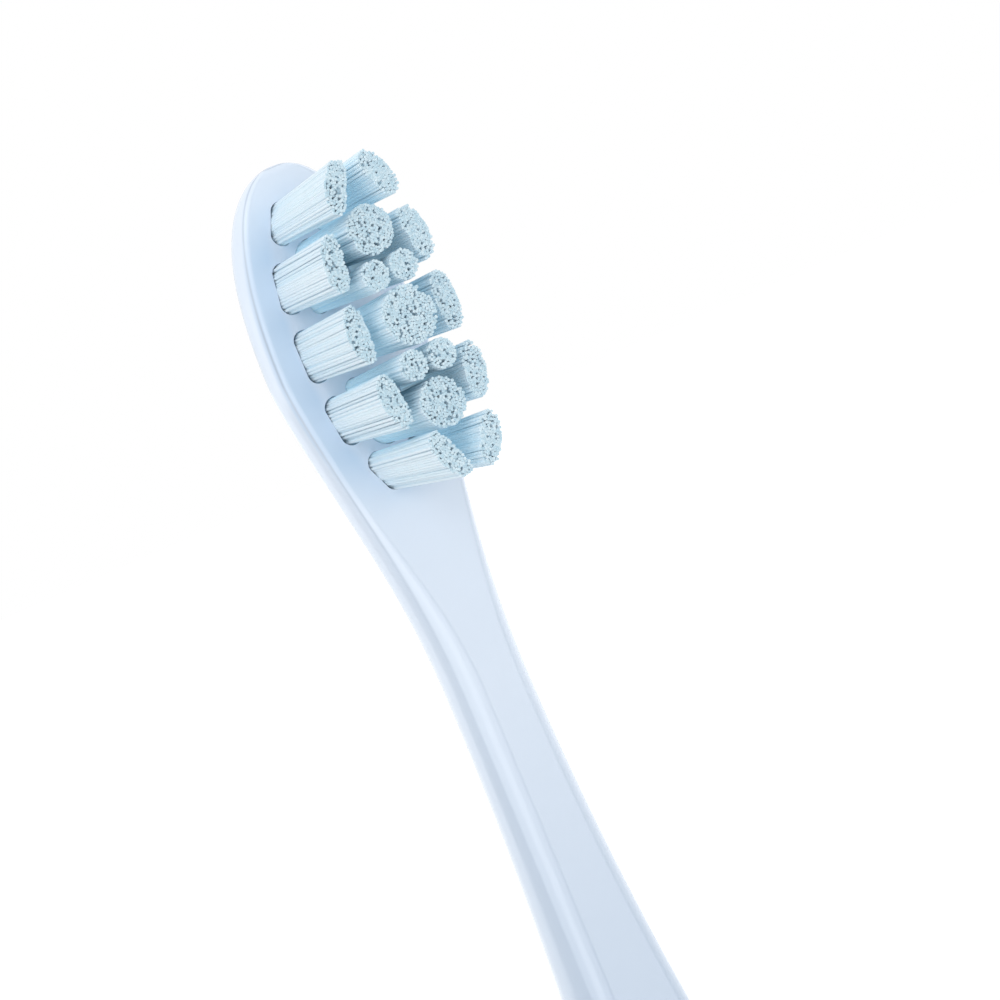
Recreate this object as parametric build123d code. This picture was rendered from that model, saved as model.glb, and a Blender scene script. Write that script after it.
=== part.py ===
from build123d import *
import math
import os

# Electric toothbrush head, standing on its foot.
# Origin at the centre of the socket mouth, +Z along the neck to the tip, bristles towards -Y. Millimetres.

# Moulded body
length = 80.0               # foot to tip
base_diameter = 11.2        # round foot of the neck
base_edge_radius = 0.4
base_corner = 5.4           # front corners of the foot, almost its whole radius
collar_height = 12.0        # below this the flat front of the neck rounds off
neck_width = 6.2            # thinnest place of the neck
neck_height = 39.0          # where that is, above the foot
neck_corner = 1.5           # front corners of the neck
neck_front = 2.55           # flat front of the neck before its axis
neck_back = 3.0             # round back of the neck behind its axis
head_width = 13.2
head_thickness = 4.5
face_setback = 1.45         # bristle face in front of the neck's axis
edge_radius = 0.6           # edge between the bristle face and the side of the head
edge_turn = 70.0            # degrees that this edge turns before the flatter side
side_depth = 1.7            # widest line of the head behind the bristle face
tip_reach = 15.0            # length of the rounded tip
tip_fullness = 2.2          # 2 is an ellipse, more is squarer
back_reach = 7.7            # length over which the back rises to full thickness
taper_from_tip = 15.0       # head starts to narrow
taper_fullness = 0.68       # 1 is an even taper, less narrows sooner
roll_from_tip = 22.7        # face starts to pass into the front of the neck

# Bristle field, measured from its middle
field_from_tip = 13.9       # middle of the field below the tip
root_depth = 2.8            # depth of the tuft holes
foot_thickness = 0.8        # fused foot of a tuft
foot_margin = 0.15          # foot beyond the tuft all round
hole_clearance = 0.06
flute_depth = 0.12          # valleys between the outer filaments
flute_pitch = 0.48
tuft_fullness = 3.0         # 2 is an ellipse, more is squarer
hole_corner = 0.65          # corner radius of an oblong tuft's hole

# Tufts: (x, z) at the face and at the top from the middle of the field, (long, wide) at the face and top,
# lean of the long side in degrees, bow of the long side, height above the face
end_tuft = dict(base=(1.4, 9.75), top=(1.74, 10.25), base_size=(3.2, 1.45), top_size=(4.15, 1.85),
                lean=25.0, bow=0.2, height=10.8)
shoulder_tuft = dict(base=(3.05, 5.2), top=(3.5, 5.3), base_size=(3.75, 1.5), top_size=(4.4, 1.88),
                     lean=9.0, bow=0.2, height=9.45)
side_tuft = dict(base=(3.4, 0.0), top=(3.8, 0.0), base_size=(3.95, 1.55), top_size=(4.55, 1.88),
                 lean=0.0, bow=0.1, height=9.05)
round_tuft = dict(base=(0.0, 6.5), top=(0.0, 6.65), base_size=(3.0, 3.0), top_size=(3.85, 3.85),
                  lean=0.0, bow=0.0, height=9.65)
centre_tuft = dict(base=(0.0, 0.0), top=(0.0, 0.0), base_size=(3.55, 3.55), top_size=(4.5, 4.5),
                   lean=0.0, bow=0.0, height=10.2)
small_tuft = dict(base=(1.06, 3.38), top=(1.24, 3.45), base_size=(1.55, 1.55), top_size=(2.4, 2.4),
                  lean=0.0, bow=0.0, height=10.1)

# Drive socket
shaft_radius = 1.75
shaft_flat = 1.56           # flat of the bore from its axis
insert_radius = 2.9
insert_length = 16.0
flange_radius = 4.2
flange_thickness = 1.2
key_width = 1.2
key_height = 0.45           # keys beyond the sleeve
fit_clearance = 0.03
socket_relief = 1.0         # free depth past the sleeve

# Spring leaf
leaf_thickness = 0.25
leaf_width = 1.4
leaf_length = 10.0
leaf_end = 1.6              # flat at each end of the leaf
leaf_slot_depth = 0.55      # slot behind the flat of the bore
leaf_start = 2.5            # above the mouth

face_y = -face_setback
floor_y = face_y + root_depth
field_z = length - field_from_tip
base_half = base_diameter / 2
head_half = head_width / 2


def ease(value, start, end):
    """Smooth step from 0 at start to 1 at end."""
    share = min(max((value - start) / (end - start), 0.0), 1.0)
    return (1 - math.cos(math.pi * share)) / 2


def blend(first, second, share):
    """Value that goes from first at share 0 to second at share 1."""
    return first + (second - first) * share


def rounded(distance, reach, fullness):
    """Rise of a rounded end, from 0 at the end to 1 at its reach."""
    inner = max(1 - distance / reach, 0.0)
    return (1 - inner ** fullness) ** (1 / fullness)


def body_section(z):
    """Flat-fronted oval section of the body at height z."""
    below_tip = length - z
    tip_rise = rounded(below_tip, tip_reach, tip_fullness)
    back_rise = rounded(below_tip, back_reach, tip_fullness)
    # The head narrows into the neck, and its face and edges pass into the flat front of the neck.
    taper = ease(z, length - taper_from_tip, neck_height) ** taper_fullness
    roll = ease(z, length - roll_from_tip, neck_height)
    # The neck widens to its foot, and its flat front rounds off in the collar.
    flare = max((neck_height - z) / neck_height, 0.0) ** 2
    collar = ease(z, collar_height, 0.0)
    side_half = blend(neck_width / 2, base_half, flare)
    front_half = blend(neck_front, base_half, flare)
    back_half = blend(neck_back, base_half, flare)
    neck_edge = blend(neck_corner, base_corner, collar)

    half_width = tip_rise * blend(head_half, side_half, taper)
    edge_drop = edge_radius * (1 - rounded(below_tip, edge_radius, 2))
    front = edge_drop + blend(face_y, -front_half, roll)
    depth = blend(side_depth * back_rise, front_half, roll)
    widest = front + depth
    back = blend(front + head_thickness * back_rise, back_half, roll)
    # Each front corner is a small arc and a flatter one, which ends at the widest line.
    corner = min(blend(edge_radius, neck_edge, roll), 0.95 * depth)
    cosine = math.cos(math.radians(edge_turn))
    sine = math.sin(math.radians(edge_turn))
    side_radius = (depth - corner * (1 - cosine)) / cosine
    flat = half_width - corner * sine - side_radius * (1 - sine)
    # The rim of the foot is rounded.
    rim = max(1 - z / base_edge_radius, 0.0)
    shrink = 1 - base_edge_radius * (1 - math.sqrt(1 - rim ** 2)) / base_half
    outline = [Line((-flat, front), (flat, front))]
    for mirror in (1, -1):
        middle = (mirror * flat, front + corner)
        side_middle = (mirror * (half_width - side_radius), widest)
        outline += [
            CenterArc(middle, corner, 270, mirror * edge_turn),
            CenterArc(side_middle, side_radius, 270 + mirror * edge_turn, mirror * (90 - edge_turn)),
            EllipticalCenterArc((0, widest), half_width, back - widest, 45 - 45 * mirror, arc_size=90),
        ]
    return Plane.XY.offset(z) * scale(make_face(outline), shrink)


def face_plane(y):
    """Plane parallel to the bristle face, looking out along the bristles."""
    return Plane(origin=(0, y, 0), x_dir=(1, 0, 0), z_dir=(0, -1, 0))


def in_field(x, z, centre, tuft, side, end):
    """Place in the bristle field of a point given from the middle of a tuft."""
    lean = math.radians(tuft["lean"])
    turned_x = x * math.cos(lean) - z * math.sin(lean)
    turned_z = x * math.sin(lean) + z * math.cos(lean)
    return (side * (centre[0] + turned_x), field_z + end * (centre[1] + turned_z))


def tuft_point(turn, level, tuft, side, end, inset):
    """Point of a tuft's outline at its base or top, turn of a full circle round it, moved inwards by inset."""
    long, wide = tuft[level + "_size"]
    squareness = 2 / tuft_fullness if long > wide else 1.0
    cosine = math.cos(2 * math.pi * turn)
    sine = math.sin(2 * math.pi * turn)
    across = math.copysign(abs(cosine) ** squareness, cosine)
    along = math.copysign(abs(sine) ** squareness, sine)
    x = (wide / 2 - inset) * across + tuft["bow"] * (0.5 - along ** 2)
    z = (long / 2 - inset) * along
    return in_field(x, z, tuft[level], tuft, side, end)


def hole_outline(tuft, side, end, grow):
    """Outline round a tuft at the face, grown outwards by grow: a circle, or a bowed oblong with round corners."""
    long_half = tuft["base_size"][0] / 2 + grow
    wide_half = tuft["base_size"][1] / 2 + grow
    if long_half == wide_half:
        return Pos(*in_field(0, 0, tuft["base"], tuft, side, end)) * Circle(wide_half)
    bow_half = tuft["bow"] / 2
    sides = []
    for across in (-wide_half, wide_half):
        rows = [(across - bow_half, -long_half), (across + bow_half, 0), (across - bow_half, long_half)]
        sides.append([in_field(x, z, tuft["base"], tuft, side, end) for x, z in rows])
    inner, outer = sides
    oblong = make_face([
        ThreePointArc(*inner),
        Line(inner[2], outer[2]),
        ThreePointArc(*outer),
        Line(outer[0], inner[0]),
    ])
    return fillet(oblong.vertices(), hole_corner + grow)


def fluted_outline(tuft, side, end, level):
    """Outline of a tuft with the ridges of its outer filaments, at its face or its top."""
    girth = math.pi * (tuft["base_size"][0] + tuft["base_size"][1]) / 2
    count = 2 * round(girth / flute_pitch)
    points = [tuft_point(i / count, level, tuft, side, end, flute_depth * (i % 2)) for i in range(count)]
    return make_face(Polyline(*points, close=True))


def make_tuft(tuft, side, end):
    """Bundle of filaments: fused foot on the floor of its hole, straight shank, flared brush."""
    foot = extrude(face_plane(floor_y) * hole_outline(tuft, side, end, foot_margin), amount=foot_thickness)
    base = fluted_outline(tuft, side, end, "base")
    top = fluted_outline(tuft, side, end, "top")
    brush = loft([
        face_plane(floor_y - foot_thickness) * base,
        face_plane(face_y) * base,
        face_plane(face_y - tuft["height"]) * top,
    ], ruled=True)
    return foot + brush


def tuft_hole(tuft, side, end):
    """Hole for a tuft, with the pocket that holds its foot."""
    wide = hole_outline(tuft, side, end, foot_margin + hole_clearance)
    narrow = hole_outline(tuft, side, end, hole_clearance)
    pocket = extrude(face_plane(floor_y) * wide, amount=foot_thickness + hole_clearance)
    return pocket + extrude(face_plane(floor_y) * narrow, amount=root_depth + edge_radius)


# Name, kind, side (-1 left, +1 right) and end (+1 towards the tip) of every tuft
tufts = []
for side, side_name in ((-1, "left"), (1, "right")):
    tufts.append((f"tuft_{side_name}_1", end_tuft, side, 1))
    tufts.append((f"tuft_{side_name}_2", shoulder_tuft, side, 1))
    tufts.append((f"tuft_{side_name}_3", side_tuft, side, 1))
    tufts.append((f"tuft_{side_name}_4", shoulder_tuft, side, -1))
    tufts.append((f"tuft_{side_name}_5", end_tuft, side, -1))
    tufts.append((f"tuft_small_tip_{side_name}", small_tuft, side, 1))
    tufts.append((f"tuft_small_heel_{side_name}", small_tuft, side, -1))
tufts.append(("tuft_tip_round", round_tuft, 1, 1))
tufts.append(("tuft_heel_round", round_tuft, 1, -1))
tufts.append(("tuft_centre", centre_tuft, 1, 1))

# Body: one lofted moulding with the tuft holes and the socket for the sleeve
rim_steps = 3
neck_steps = 30
tip_steps = 12
tip_crowding = 2.2          # sections lie closer together towards the tip
tip_end = 0.06              # last section below the tip
head_top = length - tip_reach
heights = [base_edge_radius * (i / rim_steps) ** 2 for i in range(rim_steps)]
heights += [blend(base_edge_radius, head_top, i / neck_steps) for i in range(neck_steps)]
heights += [length - blend(tip_end, tip_reach, (1 - i / tip_steps) ** tip_crowding) for i in range(tip_steps + 1)]
body = loft([body_section(z) for z in heights], ruled=True)

key_reach = insert_radius + key_height
keys = Rectangle(2 * key_reach, key_width)
socket = extrude(Circle(insert_radius + fit_clearance), amount=insert_length + socket_relief)
socket += extrude(Circle(flange_radius + fit_clearance), amount=flange_thickness)
socket += extrude(Rectangle(2 * (key_reach + fit_clearance), key_width + 2 * fit_clearance), amount=insert_length)
body -= socket
for name, tuft, side, end in tufts:
    body -= tuft_hole(tuft, side, end)

# Sleeve: flanged and keyed, with a D-shaped bore and a slot for the spring leaf behind the flat
sleeve = extrude(Circle(insert_radius), amount=insert_length)
sleeve += extrude(Circle(flange_radius), amount=flange_thickness)
sleeve += extrude(keys, amount=insert_length)
flat_side = Pos(0, -shaft_flat - shaft_radius) * Rectangle(4 * shaft_radius, 2 * shaft_radius)
sleeve -= extrude(Circle(shaft_radius) - flat_side, amount=insert_length)
slot_floor = -shaft_flat - leaf_slot_depth
slot_outline = Pos(0, slot_floor / 2) * Rectangle(leaf_width + 2 * fit_clearance, -slot_floor)
sleeve -= extrude(slot_outline, amount=leaf_start + leaf_length)

# Spring leaf: two flat ends on the floor of the slot and a bow that reaches the flat of the bore
leaf_y = slot_floor
leaf_bow = leaf_slot_depth - leaf_thickness
bow_half = leaf_length / 2 - leaf_end
leaf_path = [
    Line((leaf_y, 0), (leaf_y, leaf_end)),
    Spline((leaf_y, leaf_end), (leaf_y + leaf_bow, leaf_end + bow_half), (leaf_y, leaf_length - leaf_end),
           tangents=((0, 1), (0, 1))),
    Line((leaf_y, leaf_length - leaf_end), (leaf_y, leaf_length)),
    Line((leaf_y, leaf_length), (leaf_y + leaf_thickness, leaf_length)),
    Line((leaf_y + leaf_thickness, leaf_length), (leaf_y + leaf_thickness, leaf_length - leaf_end)),
    Spline((leaf_y + leaf_thickness, leaf_length - leaf_end),
           (leaf_y + leaf_thickness + leaf_bow, leaf_end + bow_half),
           (leaf_y + leaf_thickness, leaf_end), tangents=((0, -1), (0, -1))),
    Line((leaf_y + leaf_thickness, leaf_end), (leaf_y + leaf_thickness, 0)),
    Line((leaf_y + leaf_thickness, 0), (leaf_y, 0)),
]
leaf_plane = Plane(origin=(-leaf_width / 2, 0, leaf_start), x_dir=(0, 1, 0), z_dir=(1, 0, 0))
leaf = extrude(leaf_plane * make_face(leaf_path), amount=leaf_width)

os.makedirs("parts", exist_ok=True)
export_step(body, "parts/brush_body.step")
export_step(sleeve, "parts/socket_insert.step")
export_step(leaf, "parts/spring_clip.step")
for name, tuft, side, end in tufts:
    export_step(make_tuft(tuft, side, end), f"parts/{name}.step")
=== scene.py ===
import math

import bmesh
import bpy
import numpy as np
from mathutils import Matrix, Vector


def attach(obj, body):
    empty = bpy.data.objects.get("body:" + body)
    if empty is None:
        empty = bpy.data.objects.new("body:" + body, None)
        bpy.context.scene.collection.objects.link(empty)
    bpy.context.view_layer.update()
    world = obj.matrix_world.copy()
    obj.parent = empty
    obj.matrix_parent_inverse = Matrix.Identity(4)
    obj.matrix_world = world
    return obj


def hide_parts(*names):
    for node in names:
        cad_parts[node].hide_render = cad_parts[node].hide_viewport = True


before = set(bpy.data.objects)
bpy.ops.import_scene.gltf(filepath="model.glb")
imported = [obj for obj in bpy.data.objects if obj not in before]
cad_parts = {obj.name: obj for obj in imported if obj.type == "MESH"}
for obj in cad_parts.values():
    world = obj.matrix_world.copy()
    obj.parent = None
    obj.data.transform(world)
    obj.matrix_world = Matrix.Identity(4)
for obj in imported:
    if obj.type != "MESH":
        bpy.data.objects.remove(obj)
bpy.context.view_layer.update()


# Brush body: head and neck are one injection moulding in pale icy-blue plastic with a satin gloss.
# The flat bristle face passes into the flat front of the neck, and the neck widens to a round foot.
# The tuft holes, with the pockets for the tufts' feet, and the drive socket are part of the moulding.
mm = 0.001
length = 80.0 * mm
base_half = 5.6 * mm
base_edge_radius = 0.4 * mm
base_corner = 5.4 * mm
collar_height = 12.0 * mm
neck_width = 6.2 * mm
neck_height = 39.0 * mm
neck_corner = 1.5 * mm
neck_front = 2.55 * mm
neck_back = 3.0 * mm
flare_power = 2
head_half = 6.6 * mm
head_thickness = 4.5 * mm
face_y = -1.45 * mm
edge_radius = 0.6 * mm
edge_turn = 70
corner_limit = 0.95           # largest front corner, as a share of the depth to the widest line
side_depth = 1.7 * mm
circle_fullness = 2.0         # fullness of an end or an outline: 2 is round, more is squarer
tip_reach = 15.0 * mm
tip_fullness = 2.2
back_reach = 7.7 * mm
taper_from_tip = 15.0 * mm
taper_fullness = 0.68
roll_from_tip = 22.7 * mm


def ease(value, start, end):
    """Smooth step from 0 at start to 1 at end."""
    share = min(max((value - start) / (end - start), 0.0), 1.0)
    return (1 - math.cos(math.pi * share)) / 2


def blend(first, second, share):
    """Value that goes from first at share 0 to second at share 1."""
    return first + (second - first) * share


def rounded(distance, reach, fullness):
    """Rise of a rounded end, from 0 at the end to 1 at its reach."""
    inner = max(1 - distance / reach, 0.0)
    return (1 - inner ** fullness) ** (1 / fullness)


def arc(centre, half_x, half_y, start, size, steps):
    """Points on an ellipse, from the start angle through size degrees."""
    turns = [math.radians(start + size * i / steps) for i in range(steps + 1)]
    return [(centre[0] + half_x * math.cos(t), centre[1] + half_y * math.sin(t)) for t in turns]


front_steps = 44
edge_steps = 16
side_steps = 6
back_steps = 60


def body_ring(z):
    """Flat-fronted oval outline of the moulding at height z."""
    below_tip = length - z
    tip_rise = rounded(below_tip, tip_reach, tip_fullness)
    back_rise = rounded(below_tip, back_reach, tip_fullness)
    # The head narrows into the neck, and its face and edges pass into the flat front of the neck.
    taper = ease(z, length - taper_from_tip, neck_height) ** taper_fullness
    roll = ease(z, length - roll_from_tip, neck_height)
    # The neck widens to its foot, and its flat front rounds off in the collar.
    flare = max((neck_height - z) / neck_height, 0.0) ** flare_power
    collar = ease(z, collar_height, 0.0)
    side_half = blend(neck_width / 2, base_half, flare)
    front_half = blend(neck_front, base_half, flare)
    back_half = blend(neck_back, base_half, flare)
    neck_edge = blend(neck_corner, base_corner, collar)

    half_width = tip_rise * blend(head_half, side_half, taper)
    edge_drop = edge_radius * (1 - rounded(below_tip, edge_radius, circle_fullness))
    front = edge_drop + blend(face_y, -front_half, roll)
    depth = blend(side_depth * back_rise, front_half, roll)
    widest = front + depth
    back = blend(front + head_thickness * back_rise, back_half, roll)
    # Each front corner is a small arc and a flatter one, which ends at the widest line.
    corner = min(blend(edge_radius, neck_edge, roll), corner_limit * depth)
    cosine = math.cos(math.radians(edge_turn))
    sine = math.sin(math.radians(edge_turn))
    side_radius = (depth - corner * (1 - cosine)) / cosine
    flat = half_width - corner * sine - side_radius * (1 - sine)
    side_x = half_width - side_radius
    side_turn = 90 - edge_turn
    ring = [(flat * (2 * i / front_steps - 1), front) for i in range(front_steps)]
    ring += arc((flat, front + corner), corner, corner, 270, edge_turn, edge_steps)[:-1]
    ring += arc((side_x, widest), side_radius, side_radius, -side_turn, side_turn, side_steps)[:-1]
    ring += arc((0, widest), half_width, back - widest, 0, 180, back_steps)[:-1]
    ring += arc((-side_x, widest), side_radius, side_radius, 180, side_turn, side_steps)[:-1]
    ring += arc((-flat, front + corner), corner, corner, 180 + side_turn, edge_turn, edge_steps)[:-1]
    # The rim of the foot is rounded.
    rim = max(1 - z / base_edge_radius, 0.0)
    shrink = 1 - base_edge_radius * (1 - math.sqrt(1 - rim ** 2)) / base_half
    return [(x * shrink, y * shrink, z) for x, y in ring]


def stack_faces(count, rows, start):
    """Faces of a closed stack of rings with count points each, whose points are numbered from start."""
    faces = []
    for low in range(start, start + (rows - 1) * count, count):
        for i in range(count):
            j = (i + 1) % count
            faces.append((low + i, low + j, low + count + j, low + count + i))
    last = start + (rows - 1) * count
    faces.append(tuple(range(start, start + count)))
    faces.append(tuple(range(last, last + count)))
    return faces


def mesh_object(name, points, faces):
    """New object with these faces turned outwards."""
    mesh = bpy.data.meshes.new(name)
    mesh.from_pydata(points, [], faces)
    turned = bmesh.new()
    turned.from_mesh(mesh)
    bmesh.ops.recalc_face_normals(turned, faces=turned.faces)
    turned.to_mesh(mesh)
    turned.free()
    made = bpy.data.objects.new(name, mesh)
    bpy.context.scene.collection.objects.link(made)
    return made


def lofted(name, rings):
    """Closed object through rings that all have as many points."""
    points = [point for ring in rings for point in ring]
    return mesh_object(name, points, stack_faces(len(rings[0]), len(rings), 0))


def cut_out(target, cutters):
    """Cuts the cutters out of the target's mesh, and deletes them."""
    for cutter in cutters:
        cut = target.modifiers.new("cut", "BOOLEAN")
        cut.operation = "DIFFERENCE"
        cut.solver = "MANIFOLD"
        cut.object = cutter
    bpy.context.view_layer.update()
    shown = target.evaluated_get(bpy.context.evaluated_depsgraph_get())
    target.data = bpy.data.meshes.new_from_object(shown)
    target.modifiers.clear()
    for cutter in cutters:
        bpy.data.objects.remove(cutter)


rim_rings = 6
shaft_pitch = 0.3 * mm
tip_rings = 60
tip_crowding = 2.2            # more than 1 brings the rings closer together towards the tip
heights = [base_edge_radius * i / rim_rings for i in range(rim_rings)]
shaft_rings = round((length - tip_reach - base_edge_radius) / shaft_pitch)
heights += [blend(base_edge_radius, length - tip_reach, i / shaft_rings) for i in range(shaft_rings)]
heights += [length - tip_reach * (1 - i / tip_rings) ** tip_crowding for i in range(tip_rings)]
brush_body = lofted("moulded_body", [body_ring(z) for z in heights])


def mark_points(piece, label, values):
    """Gives each point of a piece a value that its material reads."""
    piece.data.attributes.new(label, "FLOAT", "POINT").data.foreach_set("value", values)


# A faint darker line of painted shade runs round the edge of the head and down both sides of the neck.
# It lies where the surface has turned this far from the front, in degrees.
head_line_turn = 55
neck_line_turn = 70
head_line_width = 9
neck_line_width = 6
neck_line_strength = 0.22
back_turn = 120
turns = [0] * front_steps
turns += [edge_turn * i / edge_steps for i in range(edge_steps)]
turns += [blend(edge_turn, 90, i / side_steps) for i in range(side_steps)]
turns += [back_turn] * back_steps
turns += [blend(90, edge_turn, i / side_steps) for i in range(side_steps)]
turns += [blend(edge_turn, 0, i / edge_steps) for i in range(edge_steps)]
line_weights = []
for z in heights:
    roll = ease(z, length - roll_from_tip, neck_height)
    tip_turn = math.degrees(math.asin(max(1 - (length - z) / edge_radius, 0.0)))
    line_turn = blend(head_line_turn, neck_line_turn, roll)
    line_width = blend(head_line_width, neck_line_width, roll)
    strength = blend(1.0, neck_line_strength, roll)
    for turn in turns:
        line_weights.append(strength * math.exp(-((max(turn, tip_turn) - line_turn) / line_width) ** 2))
mark_points(brush_body, "line", line_weights)

# The holes follow the layout of the bristle field. It gives, in millimetres from the field's middle, the
# (x, z) and (long, wide) of each kind of tuft at the face and at its top, the lean of its long side in
# degrees, the bow of that side, its height above the face, and the side that another bundle shuts off:
# 1 is away from the field's middle, -1 is towards it, and 0 is none.
field_z = length - 13.9 * mm
root_depth = 2.8 * mm
floor_y = face_y + root_depth
foot_thickness = 0.8 * mm
foot_margin = 0.15 * mm
hole_clearance = 0.06 * mm
hole_corner = 0.65 * mm
hole_corner_steps = 12
round_hole_steps = 48
end_tuft = dict(base=(1.4, 9.75), top=(1.74, 10.25), base_size=(3.2, 1.45), top_size=(4.15, 1.85),
                lean=25.0, bow=0.2, height=10.8, shut=0)
shoulder_tuft = dict(base=(3.05, 5.2), top=(3.5, 5.3), base_size=(3.75, 1.5), top_size=(4.4, 1.88),
                     lean=9.0, bow=0.2, height=9.45, shut=0)
side_tuft = dict(base=(3.4, 0.0), top=(3.8, 0.0), base_size=(3.95, 1.55), top_size=(4.55, 1.88),
                 lean=0.0, bow=0.1, height=9.05, shut=0)
round_tuft = dict(base=(0.0, 6.5), top=(0.0, 6.65), base_size=(3.0, 3.0), top_size=(3.85, 3.85),
                  lean=0.0, bow=0.0, height=9.65, shut=-1)
centre_tuft = dict(base=(0.0, 0.0), top=(0.0, 0.0), base_size=(3.55, 3.55), top_size=(4.5, 4.5),
                   lean=0.0, bow=0.0, height=10.2, shut=0)
small_tuft = dict(base=(1.06, 3.38), top=(1.24, 3.45), base_size=(1.55, 1.55), top_size=(2.4, 2.4),
                  lean=0.0, bow=0.0, height=10.1, shut=1)

# Each tuft: its name, its kind, its side (-1 is left) and its end (1 is the tip's, -1 is the heel's).
tufts = []
for side, side_name in ((-1, "left"), (1, "right")):
    tufts.append((f"tuft_{side_name}_1", end_tuft, side, 1))
    tufts.append((f"tuft_{side_name}_2", shoulder_tuft, side, 1))
    tufts.append((f"tuft_{side_name}_3", side_tuft, side, 1))
    tufts.append((f"tuft_{side_name}_4", shoulder_tuft, side, -1))
    tufts.append((f"tuft_{side_name}_5", end_tuft, side, -1))
    tufts.append((f"tuft_small_tip_{side_name}", small_tuft, side, 1))
    tufts.append((f"tuft_small_heel_{side_name}", small_tuft, side, -1))
tufts.append(("tuft_tip_round", round_tuft, 1, 1))
tufts.append(("tuft_heel_round", round_tuft, 1, -1))
tufts.append(("tuft_centre", centre_tuft, 1, 1))


def in_field(x, z, centre, tuft, side, end):
    """Place in the bristle field, in metres, of a point given in millimetres from the middle of a tuft."""
    lean = math.radians(tuft["lean"])
    turned_x = x * math.cos(lean) - z * math.sin(lean)
    turned_z = x * math.sin(lean) + z * math.cos(lean)
    return side * (centre[0] + turned_x) * mm, field_z + end * (centre[1] + turned_z) * mm


def bow_at(z, long_half, tuft):
    """Shift across a tuft at z, which bows its long sides."""
    return tuft["bow"] * (0.5 - (z / long_half) ** 2)


def hole_ring(tuft, side, end, grow, y):
    """Outline round a tuft at depth y, grown by grow: a circle, or a bowed oblong with round corners."""
    long_half = tuft["base_size"][0] / 2 + grow / mm
    wide_half = tuft["base_size"][1] / 2 + grow / mm
    if long_half == wide_half:
        outline = arc((0, 0), wide_half, wide_half, 0, 360, round_hole_steps)[:-1]
    else:
        corner = (hole_corner + grow) / mm
        outline = []
        for start, sign_x, sign_z in ((0, 1, 1), (90, -1, 1), (180, -1, -1), (270, 1, -1)):
            middle = (sign_x * (wide_half - corner), sign_z * (long_half - corner))
            outline += arc(middle, corner, corner, start, 90, hole_corner_steps)
    ring = []
    for x, z in outline:
        field_x, field_height = in_field(x + bow_at(z, long_half, tuft), z, tuft["base"], tuft, side, end)
        ring.append((field_x, y, field_height))
    return ring


# Each hole is wider at its floor, where it holds the tuft's foot, and it ends in front of the face.
pocket = foot_margin + hole_clearance
pocket_top = floor_y - foot_thickness - hole_clearance
hole_rows = (
    (pocket, floor_y),
    (pocket, pocket_top),
    (hole_clearance, pocket_top),
    (hole_clearance, face_y - edge_radius),
)
holes = []
for name, tuft, side, end in tufts:
    holes.append(lofted("hole", [hole_ring(tuft, side, end, grow, y) for grow, y in hole_rows]))

# The socket is open at the foot: a bore, a wider recess for the sleeve's flange and two slots for its keys.
socket_radius = 2.93 * mm
socket_depth = 17.0 * mm
recess_radius = 4.23 * mm
recess_depth = 1.2 * mm
key_reach = 3.38 * mm
key_half = 0.63 * mm
key_depth = 16.0 * mm
socket_turns = 96
below_foot = -1.0 * mm


def rectangle(half_x, half_y, z):
    """Corners of a level rectangle round the neck's axis."""
    return [(-half_x, -half_y, z), (half_x, -half_y, z), (half_x, half_y, z), (-half_x, half_y, z)]


socket_rows = (
    (recess_radius, below_foot),
    (recess_radius, recess_depth),
    (socket_radius, recess_depth),
    (socket_radius, socket_depth),
)
socket_rings = []
for radius, z in socket_rows:
    circle = arc((0, 0), radius, radius, 0, 360, socket_turns)[:-1]
    socket_rings.append([(x, y, z) for x, y in circle])
socket = lofted("socket", socket_rings)
keys = lofted("keys", [rectangle(key_reach, key_half, z) for z in (below_foot, key_depth)])
cut_out(brush_body, holes + [socket, keys])

sharp_angle = 40


def smooth_shaded(piece):
    """Shades a piece smoothly, apart from edges with a larger angle than sharp_angle."""
    piece.data.shade_smooth()
    piece.data.set_sharp_from_angle(angle=math.radians(sharp_angle))


smooth_shaded(brush_body)


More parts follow.
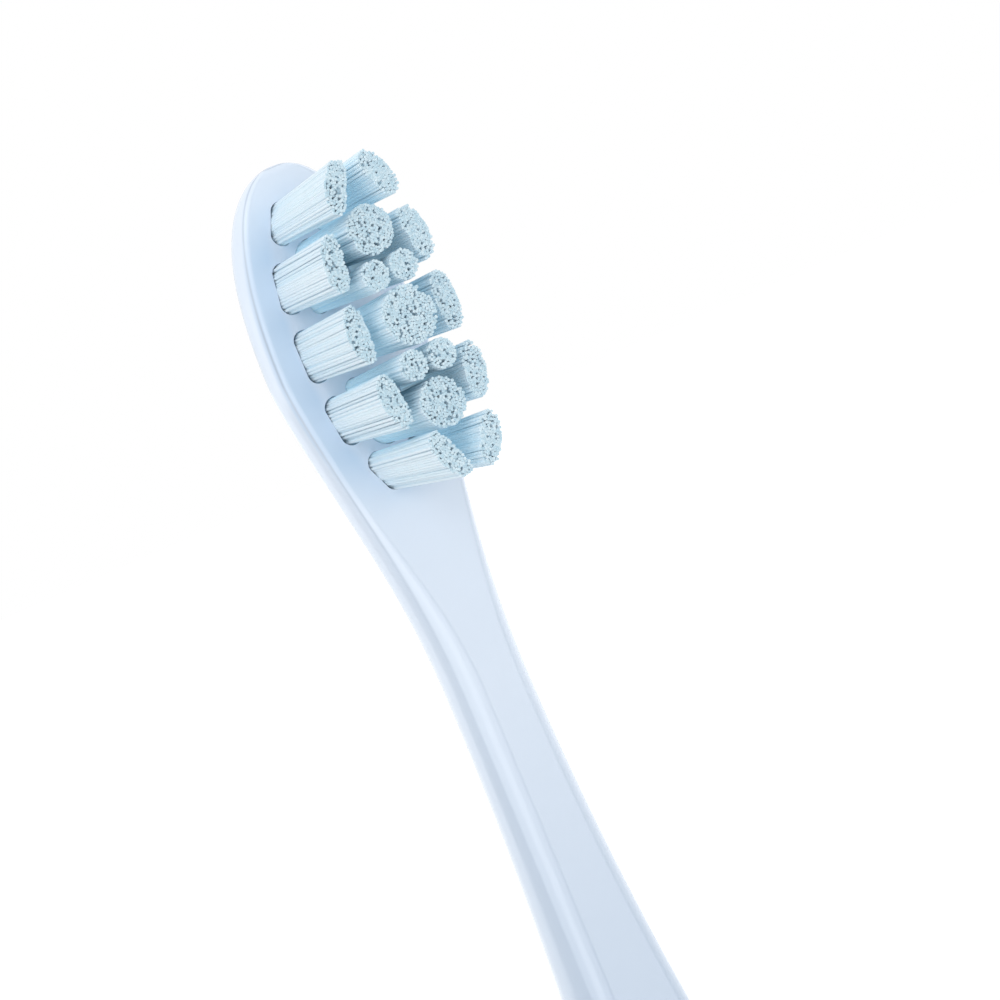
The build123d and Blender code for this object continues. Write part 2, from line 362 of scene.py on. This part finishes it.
class Shade:
    """A socket of a node tree. Arithmetic on it adds Math nodes, and node() adds any other node."""

    def __init__(self, tree, socket=None):
        self.tree = tree
        self.socket = socket

    def node(self, kind, settings=None, inputs=None, output=0):
        """Adds a node, sets its settings, then its inputs to values or links, and returns an output."""
        made = self.tree.nodes.new("ShaderNode" + kind)
        for name, value in (settings or {}).items():
            setattr(made, name, value)
        for name, value in (inputs or {}).items():
            if isinstance(value, Shade):
                self.tree.links.new(value.socket, made.inputs[name])
            else:
                made.inputs[name].default_value = value
        return Shade(self.tree, made.outputs[output] if made.outputs else None)

    def math(self, operation, first, second):
        """Value that a Math node makes of two values."""
        return self.node("Math", {"operation": operation}, {0: first, 1: second})

    def mix(self, first, second):
        """Colour that goes from first to second as this value goes from 0 to 1."""
        return self.node("Mix", {"data_type": "RGBA"}, {0: self, 6: first, 7: second}, 2)

    def step(self, start, end, low=0.0, high=1.0):
        """Value that goes smoothly from low to high as this value goes from start to end."""
        limits = {"Value": self, "From Min": start, "From Max": end, "To Min": low, "To Max": high}
        return self.node("MapRange", {"interpolation_type": "SMOOTHSTEP"}, limits)

    def reach(self):
        """Length of this vector."""
        return self.node("VectorMath", {"operation": "LENGTH"}, {0: self}, "Value")

    def oval(self, middle, half):
        """Reach of this place from the middle of an oval with these half sizes: 1 is on the oval."""
        offset = self.node("VectorMath", {"operation": "SUBTRACT"}, {0: self, 1: middle})
        return self.node("VectorMath", {"operation": "DIVIDE"}, {0: offset, 1: half}).reach()

    def marked(self, label):
        """Value that the points of the piece are marked with."""
        return self.node("Attribute", {"attribute_name": label}, output="Fac")

    def __add__(self, other):
        return self.math("ADD", self, other)

    def __radd__(self, other):
        return self.math("ADD", other, self)

    def __sub__(self, other):
        return self.math("SUBTRACT", self, other)

    def __rsub__(self, other):
        return self.math("SUBTRACT", other, self)

    def __mul__(self, other):
        return self.math("MULTIPLY", self, other)

    def __rmul__(self, other):
        return self.math("MULTIPLY", other, self)


def finish_for(name):
    """New material with an empty node tree: (material, tree)."""
    material = bpy.data.materials.new(name)
    material.use_nodes = True
    material.node_tree.nodes.clear()
    return material, Shade(material.node_tree)


def dress(piece, material):
    """Makes this the one material of a piece."""
    piece.data.materials.clear()
    piece.data.materials.append(material)


# Pairs of blues are the two ends of a faint cloudy tint. A fade gives the reaches from an oval's middle at
# which its tint starts and is full.
body_blues = (0.71, 0.805, 0.93, 1), (0.735, 0.825, 0.945, 1)
# The field's blues are painted shade, deeper round the tufts.
field_shade_blues = (0.555, 0.69, 0.855, 1), (0.58, 0.71, 0.87, 1)
field_middle = (0, face_y, field_z)
field_shade_oval = (11.0 * mm, 0.7 * mm, 11.0 * mm)
field_shade_fade = (1.25, 0.75)
# The ring's blues are painted light, paler between the tufts.
ring_light_blues = (0.74, 0.80, 0.91, 1), (0.755, 0.815, 0.92, 1)
ring_oval = (4.2 * mm, 0.5 * mm, 11.5 * mm)
ring_fade = (1.1, 0.85)
# The foot's blue is painted shade, deeper towards the foot.
foot_shade_blue = (0.55, 0.65, 0.785, 1)
foot_shade_start = 60.0 * mm
# The line's blue is painted shade.
line_shade_blue = (0.48, 0.57, 0.69, 1)


def moulded_plastic():
    """Satin icy-blue plastic: faint cloudy tint, slightly uneven gloss, a very fine moulded grain, and
    painted shade and light.
    """
    material, tree = finish_for("satin_ice_blue_plastic")
    place = tree.node("TexCoord", output="Object")
    cloud = tree.node("TexNoise", inputs={"Vector": place, "Scale": 90.0, "Detail": 3.0})
    grain = tree.node("TexNoise", inputs={"Vector": place, "Scale": 5200.0, "Detail": 2.0})
    # In the bristle field the plastic is painted a deeper blue: painted shade from the tufts.
    field = place.oval(field_middle, field_shade_oval).step(*field_shade_fade)
    colour = field.mix(cloud.mix(*body_blues), cloud.mix(*field_shade_blues))
    # Inside the ring of tufts it is painted paler again: painted light, for the light that comes to it
    # through the bundles.
    within = place.oval(field_middle, ring_oval).step(*ring_fade)
    colour = within.mix(colour, cloud.mix(*ring_light_blues))
    # Towards the foot it is painted a little deeper: painted shade.
    height = tree.node("SeparateXYZ", inputs={0: place}, output="Z")
    colour = height.step(foot_shade_start, 0.0).mix(colour, foot_shade_blue)
    # The darker line round the edge and down the neck is painted shade.
    colour = tree.marked("line").mix(colour, line_shade_blue)
    bump = tree.node("Bump", inputs={"Strength": 0.05, "Distance": 0.01 * mm, "Height": grain})
    surface = tree.node("BsdfPrincipled", inputs={
        "Base Color": colour,
        "Roughness": 0.28 + 0.10 * cloud,
        "IOR": 1.5,
        "Coat Weight": 1.0,
        "Coat Roughness": 0.15,
        "Normal": bump,
    })
    tree.node("OutputMaterial", inputs={"Surface": surface})
    return material


dress(brush_body, moulded_plastic())
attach(brush_body, "root")
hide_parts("brush_body")


# Tufts: seventeen bundles of round-ended nylon filaments, flared from the face to their tops.
# The lower ends of a bundle are melted together into a flat foot, and the head is moulded round that foot.
# Sizes within a tuft are in millimetres, like the layout of the field.
filament_radius = 0.123
filament_pitch = 0.243        # at the tops
filament_sides = 8
filament_rows = (0.0, 0.33, 0.67)    # ways along a filament, from the face, with a ring of points
end_bevel = 0.25              # share of the radius
end_sway = 0.012
uneven_end = 0.02
sunk_share = 0.125            # inner filaments that end lower, as dark specks in the tops
sunk_reach = 0.86
sunk_depth = (0.2, 0.6)
base_fullness = 5.0           # of an oblong bundle in its hole
top_fullness = 3.0
oblong_fill = 0.88            # share of the box round an oblong top that the filaments fill
packing_rounds = 45
packing_push = 0.3            # share of an overlap by which a round moves each of the two filaments
packing_limit = 0.01          # least distance that the push is worked out for, as a share of the pitch
flute_pitch = 0.48            # ridges along the sides of a bundle
flute_depth = 0.12
flute_spread = (0.2, 1.0)
skin_depth = 0.5              # distance from the sides at which a filament counts as deep in its bundle
inner_slope = 1.2
shut_slope = 2.0
foot_softness = 0.12 * mm
mark_labels = ("depth", "tint", "inner", "glow", "along", "tip")
foot_marks = (1.0, 0.5, 1.0, 1.0, 0.0, 0.0)
first_seed = 40


def superellipse(places, half, fullness):
    """Reach of each place from the middle: 1 on the superellipse with these half sizes."""
    return (np.abs(places / half) ** fullness).sum(axis=1) ** (1 / fullness)


def packed(count, half, fullness, pitch, rng):
    """Places from the middle of a tuft, pushed apart in its outline until they are almost evenly packed."""
    turn = rng.uniform(0, 2 * math.pi, count)
    reach = np.sqrt(rng.uniform(0, 1, count))
    places = np.stack([reach * np.cos(turn), reach * np.sin(turn)], axis=1) * half
    for _ in range(packing_rounds):
        apart = places[:, None] - places[None]
        gap = np.linalg.norm(apart, axis=2) + np.eye(count) * pitch
        push = packing_push * np.clip(pitch - gap, 0, None) / np.maximum(gap, packing_limit * pitch)
        places = places + (apart * push[:, :, None]).sum(axis=1)
        places = places / np.maximum(superellipse(places, half, fullness), 1.0)[:, None]
    return places


def filament_places(tuft, seed):
    """Lower ends, upper ends, heights and first four marks of a tuft's filaments."""
    rng = np.random.default_rng(seed)
    top_half = np.array(tuft["top_size"][::-1]) / 2 - filament_radius
    low_half = np.array(tuft["base_size"][::-1]) / 2 - filament_radius
    oblong = tuft["base_size"][0] > tuft["base_size"][1]
    fullness = top_fullness if oblong else circle_fullness
    low_fullness = base_fullness if oblong else circle_fullness
    fill = oblong_fill if oblong else math.pi / 4
    room = 4 * fill * (top_half + filament_pitch / 2).prod()
    cell = filament_pitch ** 2 * math.sqrt(3) / 2
    count = round(room / cell)
    tops = packed(count, top_half, fullness, filament_pitch, rng)

    # The outer filaments lie in ridges: places in the valleys between them move inwards.
    share = tops / top_half
    reach = superellipse(share, 1.0, fullness)
    round_share = np.sign(share) * np.abs(share) ** (fullness / 2)
    turn = np.arctan2(round_share[:, 1], round_share[:, 0]) / (2 * math.pi)
    flutes = round(math.pi * sum(tuft["base_size"]) / 2 / flute_pitch)
    valley = (1 - np.cos(2 * math.pi * turn * flutes)) / 2
    deepness = rng.uniform(*flute_spread, flutes)[np.floor(turn * flutes).astype(int) % flutes]
    inset = (flute_depth * valley * deepness)[:, None]
    lows = share * (reach / superellipse(share, 1.0, low_fullness))[:, None] * (low_half - inset)
    tops = share * (top_half - inset) + rng.normal(0, end_sway, (count, 2))

    # Marks: depth in the bundle, tint, 1 on sides that look into the field, 0 on sides that are shut off.
    depth = np.clip((1 - reach) * top_half.min() / skin_depth, 0, 1)
    inner = np.clip(0.5 - inner_slope * share[:, 0], 0, 1) if oblong else np.ones(count)
    glow = 1 - np.clip(shut_slope * tuft["shut"] * share[:, 1], 0, 1)
    heights = tuft["height"] + rng.normal(0, uneven_end, count)
    sunk = (rng.uniform(0, 1, count) < sunk_share) & (reach < sunk_reach)
    heights -= rng.uniform(*sunk_depth, count) * sunk
    tint = rng.uniform(0, 1, count)
    return lows, tops, heights, np.stack([depth, tint, inner, glow], axis=1)


def filament_bundle(name, tuft, side, end, seed):
    """One tuft: its filaments and its melted foot, with each point marked for the finish."""
    points, faces, marks = [], [], []
    turns = 2 * math.pi * np.arange(filament_sides) / filament_sides
    circle_x = filament_radius * np.cos(turns)
    circle_z = filament_radius * np.sin(turns)
    buried = (foot_thickness - root_depth) / mm
    for low, top, height, looks in zip(*filament_places(tuft, seed)):
        # (way along the filament, height above the face, width, 1 on its end)
        stations = [(0.0, buried, 1.0, 0.0)]
        stations += [(along, along * height, 1.0, 0.0) for along in filament_rows]
        stations.append((1.0, height - end_bevel * filament_radius, 1.0, 0.0))
        stations.append((1.0, height, 1 - end_bevel, 1.0))
        start = len(points)
        for along, above, width, tip in stations:
            x, z = blend(low, top, along)
            long_half = blend(tuft["base_size"][0], tuft["top_size"][0], along) / 2
            bowed_x = x + bow_at(z, long_half, tuft)
            middle = [blend(a, b, along) for a, b in zip(tuft["base"], tuft["top"])]
            for ring_x, ring_z in zip(circle_x * width, circle_z * width):
                field_x, field_height = in_field(bowed_x + ring_x, z + ring_z, middle, tuft, side, end)
                points.append((field_x, face_y - above * mm, field_height))
                marks.append((*looks, along, tip))
        faces += stack_faces(filament_sides, len(stations), start)

    foot_rows = (
        (foot_margin - foot_softness, floor_y),
        (foot_margin, floor_y - foot_softness),
        (foot_margin, floor_y - foot_thickness + foot_softness),
        (foot_margin - foot_softness, floor_y - foot_thickness),
    )
    foot = [hole_ring(tuft, side, end, grow, y) for grow, y in foot_rows]
    faces += stack_faces(len(foot[0]), len(foot), len(points))
    for ring in foot:
        points += ring
        marks += [foot_marks] * len(ring)

    made = mesh_object(name, points, faces)
    for label, values in zip(mark_labels, zip(*marks)):
        mark_points(made, label, values)
    smooth_shaded(made)
    return made


nylon_pale = (0.79, 0.88, 0.94, 1)
nylon_teal = (0.34, 0.72, 0.92, 1)
# The teal of inner sides and of deep filaments is painted shade.
inner_shade_teal = 0.35
top_power = 4.0               # lets the teal of inner sides fade only near the tops
depth_shade_teal = 0.3
tint_teal = 0.12
streak_teal = 0.14
# The crease teal is painted shade between bundles.
crease_shade_teal = (0.10, 0.26, 0.35, 1)
# The ends' colours are painted shade, darker than the lit sides, with a random tone per filament.
end_shade_pale = (0.66, 0.82, 0.90, 1)
end_shade_deep = (0.48, 0.68, 0.79, 1)
no_light = (0, 0, 0, 1)
# The glow colour is painted light on the nylon.
painted_glow_colour = (0.70, 0.88, 0.92, 1)
painted_glow_fall = 0.85


def filament_nylon():
    """Pale aqua nylon: whiter outside, painted shade in teal on inner sides, deep down and on the ends, a
    painted glow, no two filaments quite alike.
    """
    material, tree = finish_for("aqua_nylon_filament")
    depth, tint, inner, glow, along, tip = [tree.marked(label) for label in mark_labels]
    place = tree.node("TexCoord", output="Object")
    streak = tree.node("TexNoise", inputs={"Vector": place, "Scale": 2600.0, "Detail": 2.0})
    # Sides that look into the field and filaments deep down, near the feet, are painted a deeper teal:
    # painted shade.
    into_field_shade = inner_shade_teal * inner * (1 - tree.math("POWER", along, top_power))
    deep_down_shade = depth_shade_teal * depth * (1 - along)
    teal = into_field_shade + deep_down_shade + tint_teal * tint + streak_teal * streak
    colour = teal.mix(nylon_pale, nylon_teal)
    # Where bundles stand close together, their facing sides are painted dark teal near the feet: painted
    # shade.
    colour = ((1 - glow) * (1 - along)).mix(colour, crease_shade_teal)
    # The filament ends are painted a darker cyan: painted shade, with a random tone per filament.
    colour = tip.mix(colour, tint.mix(end_shade_pale, end_shade_deep))
    # Elsewhere inside the ring the nylon glows faintly, most of all near the feet: painted light, for light
    # that passes through the bundles.
    painted_glow_mask = glow * inner * (1 - tip) * (1 - depth) * (1 - painted_glow_fall * along)
    bump = tree.node("Bump", inputs={"Strength": 0.12, "Distance": 0.02 * mm, "Height": streak})
    surface = tree.node("BsdfPrincipled", inputs={
        "Base Color": colour,
        "Roughness": 0.30 + 0.2 * streak,
        "IOR": 1.53,
        "Emission Color": painted_glow_mask.mix(no_light, painted_glow_colour),
        "Emission Strength": 0.16,
        "Normal": bump,
    })
    tree.node("OutputMaterial", inputs={"Surface": surface})
    return material


nylon = filament_nylon()
for number, (name, tuft, side, end) in enumerate(tufts):
    piece_name = "filaments_" + name.removeprefix("tuft_")
    bundle = filament_bundle(piece_name, tuft, side, end, first_seed + number)
    dress(bundle, nylon)
    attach(bundle, "root")
    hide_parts(name)


# Socket sleeve: a keyed and flanged sleeve of stiff off-white plastic, pressed into the foot of the neck.
# Its D-shaped bore takes the handle's drive shaft, so its surface is smooth and dense.
sleeve_whites = (0.72, 0.74, 0.76, 1), (0.80, 0.815, 0.83, 1)


def sleeve_plastic():
    """Dense off-white plastic: faint cloudy tint, slightly uneven gloss and a very fine grain."""
    material, tree = finish_for("dense_off_white_plastic")
    place = tree.node("TexCoord", output="Object")
    cloud = tree.node("TexNoise", inputs={"Vector": place, "Scale": 300.0, "Detail": 4.0})
    grain = tree.node("TexNoise", inputs={"Vector": place, "Scale": 6000.0, "Detail": 2.0})
    bump = tree.node("Bump", inputs={"Strength": 0.1, "Distance": 0.01 * mm, "Height": grain})
    surface = tree.node("BsdfPrincipled", inputs={
        "Base Color": cloud.mix(*sleeve_whites),
        "Roughness": 0.38 + 0.14 * cloud,
        "Normal": bump,
    })
    tree.node("OutputMaterial", inputs={"Surface": surface})
    return material


dress(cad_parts["socket_insert"], sleeve_plastic())


# Spring leaf: a bowed strip of rolled spring steel in the sleeve's slot, which presses on the shaft's flat.
# Rolling leaves fine lines along the strip.
steel_greys = (0.50, 0.51, 0.53, 1), (0.66, 0.67, 0.69, 1)


def rolled_steel():
    """Spring steel with fine rolled lines along it, in its colour, gloss and surface."""
    material, tree = finish_for("rolled_spring_steel")
    place = tree.node("TexCoord", output="Object")
    stretch = tree.node("Mapping", inputs={"Vector": place, "Scale": (9000.0, 9000.0, 260.0)})
    lines = tree.node("TexNoise", inputs={"Vector": stretch, "Scale": 1.0, "Detail": 3.0})
    bump = tree.node("Bump", inputs={"Strength": 0.2, "Distance": 0.005 * mm, "Height": lines})
    surface = tree.node("BsdfPrincipled", inputs={
        "Base Color": lines.mix(*steel_greys),
        "Metallic": 1.0,
        "Roughness": 0.22 + 0.22 * lines,
        "Normal": bump,
    })
    tree.node("OutputMaterial", inputs={"Surface": surface})
    return material


dress(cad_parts["spring_clip"], rolled_steel())


# Studio: a white floor and surround, soft panels, and black cards that give the gloss its dark bands.
# The floor glows for the camera and in reflections, but less near the foot, where it keeps the shadow.
# The camera doesn't see the panels and the cards.
white = (1, 1, 1, 1)
floor_white = (0.88, 0.88, 0.88, 1)
floor_half = 3.0
floor_drop = 0.01 * mm
shadow_reach = 0.015
shadow_glow = 0.115
white_reach = 0.09
white_glow = 0.5


def ray_is(tree, *kinds):
    """1 for rays of these kinds, and 0 for other rays."""
    found = 0.0
    for kind in kinds:
        found = tree.math("MAXIMUM", found, tree.node("LightPath", output=f"Is {kind} Ray"))
    return found


def stage_piece(name, corners, material):
    """Flat piece of the stage with four corners."""
    mesh = bpy.data.meshes.new(name)
    mesh.from_pydata(corners, [], [(0, 1, 2, 3)])
    mesh.materials.append(material)
    made = bpy.data.objects.new(name, mesh)
    bpy.context.scene.collection.objects.link(made)
    return made


white_floor, tree = finish_for("white_floor")
away = tree.node("TexCoord", output="Object").reach()
level = ray_is(tree, "Camera", "Glossy") * away.step(shadow_reach, white_reach, shadow_glow, white_glow)
glow = tree.node("Emission", inputs={"Color": white, "Strength": level})
matt = tree.node("BsdfDiffuse", inputs={"Color": floor_white})
tree.node("OutputMaterial", inputs={"Surface": tree.node("AddShader", inputs={0: matt, 1: glow})})
stage_piece("floor", rectangle(floor_half, floor_half, -floor_drop), white_floor)

# The surround is white to the camera and in reflections, and lights the brush a little less.
surround_light = 0.92
surround = bpy.data.worlds.new("white_surround")
bpy.context.scene.world = surround
surround.use_nodes = True
surround.node_tree.nodes.clear()
tree = Shade(surround.node_tree)
level = blend(surround_light, 1.0, ray_is(tree, "Camera", "Glossy", "Transmission"))
sky = tree.node("Background", inputs={"Color": white, "Strength": level})
tree.node("OutputWorld", inputs={"Surface": sky})


def towards(azimuth, elevation):
    """Direction from the brush, in degrees: azimuth 0 is its front, and 90 is the right seen from there."""
    turn = math.radians(azimuth)
    rise = math.radians(elevation)
    return Vector((math.sin(turn) * math.cos(rise), -math.cos(turn) * math.cos(rise), math.sin(rise)))


def soft_panel(name, aim, azimuth, elevation, distance, size, brightness):
    """Rectangular soft light that looks at aim, with the given brightness of its surface."""
    lamp = bpy.data.lights.new(name, "AREA")
    lamp.shape = "RECTANGLE"
    lamp.size = size[0]
    lamp.size_y = size[1]
    lamp.energy = brightness * math.pi * size[0] * size[1]
    made = bpy.data.objects.new(name, lamp)
    back = towards(azimuth, elevation)
    made.location = aim + back * distance
    made.rotation_mode = "QUATERNION"
    made.rotation_quaternion = back.to_track_quat("Z", "Y")
    made.visible_camera = False
    bpy.context.scene.collection.objects.link(made)


neck_middle = Vector((0, 0, neck_height))
soft_panel("front_panel", neck_middle, azimuth=-42, elevation=12, distance=0.40,
           size=(0.26, 0.50), brightness=1.0)
soft_panel("face_panel", neck_middle, azimuth=27, elevation=10, distance=0.40,
           size=(0.11, 0.50), brightness=0.5)
soft_panel("right_panel", neck_middle, azimuth=92, elevation=10, distance=0.40,
           size=(0.26, 0.50), brightness=0.6)
head_middle = Vector((0, 0, field_z))
soft_panel("left_panel", head_middle, azimuth=-126, elevation=4, distance=0.15,
           size=(0.06, 0.06), brightness=0.4)
soft_panel("upper_left_panel", head_middle, azimuth=-82, elevation=42, distance=0.16,
           size=(0.09, 0.09), brightness=1.05)

card_black = (0.02, 0.02, 0.02, 1)
black_card, tree = finish_for("black_card")
cloth = tree.node("BsdfDiffuse", inputs={"Color": card_black})
tree.node("OutputMaterial", inputs={"Surface": cloth})
upwards = Vector((0, 0, 1))


def dark_card(name, azimuth, distance, width, bottom, top):
    """Upright black card that faces the neck's axis, seen only in the brush's gloss and as shade."""
    out = towards(azimuth, 0)
    across = upwards.cross(out) * width / 2
    left = out * distance - across
    right = out * distance + across
    edges = ((left, bottom), (right, bottom), (right, top), (left, top))
    card = stage_piece(name, [(edge.x, edge.y, z) for edge, z in edges], black_card)
    card.visible_camera = False


dark_card("left_card", azimuth=-118, distance=0.15, width=0.085, bottom=0.006, top=0.040)
dark_card("head_card", azimuth=-84, distance=0.15, width=0.10, bottom=0.05, top=0.10)
dark_card("front_card", azimuth=14, distance=0.30, width=0.075, bottom=0.012, top=0.2)
dark_card("right_card", azimuth=43, distance=0.30, width=0.075, bottom=0.012, top=0.2)

bpy.context.scene.view_settings.view_transform = "Standard"


# Camera: a long lens at about the height of the head, to the left of the brush's front.
# It is rolled, so that the brush leans in the picture.
camera_azimuth = -28.24
camera_rise = 1.98
camera_roll = math.radians(-23.0)
camera_distance = 369.1 * mm
camera_target = Vector((7.085, 0.0, 50.97)) * mm
lens = bpy.data.cameras.new("camera")
lens.lens = 180.0
lens.sensor_width = 36.0
lens.clip_start = 0.01
camera = bpy.data.objects.new("camera", lens)
bpy.context.scene.collection.objects.link(camera)
back = towards(camera_azimuth, camera_rise)
level_right = upwards.cross(back).normalized()
level_up = back.cross(level_right)
right = level_right * math.cos(camera_roll) + level_up * math.sin(camera_roll)
up = back.cross(right)
camera.matrix_world = Matrix((right, up, back)).transposed().to_4x4()
camera.location = camera_target + back * camera_distance
bpy.context.scene.camera = camera
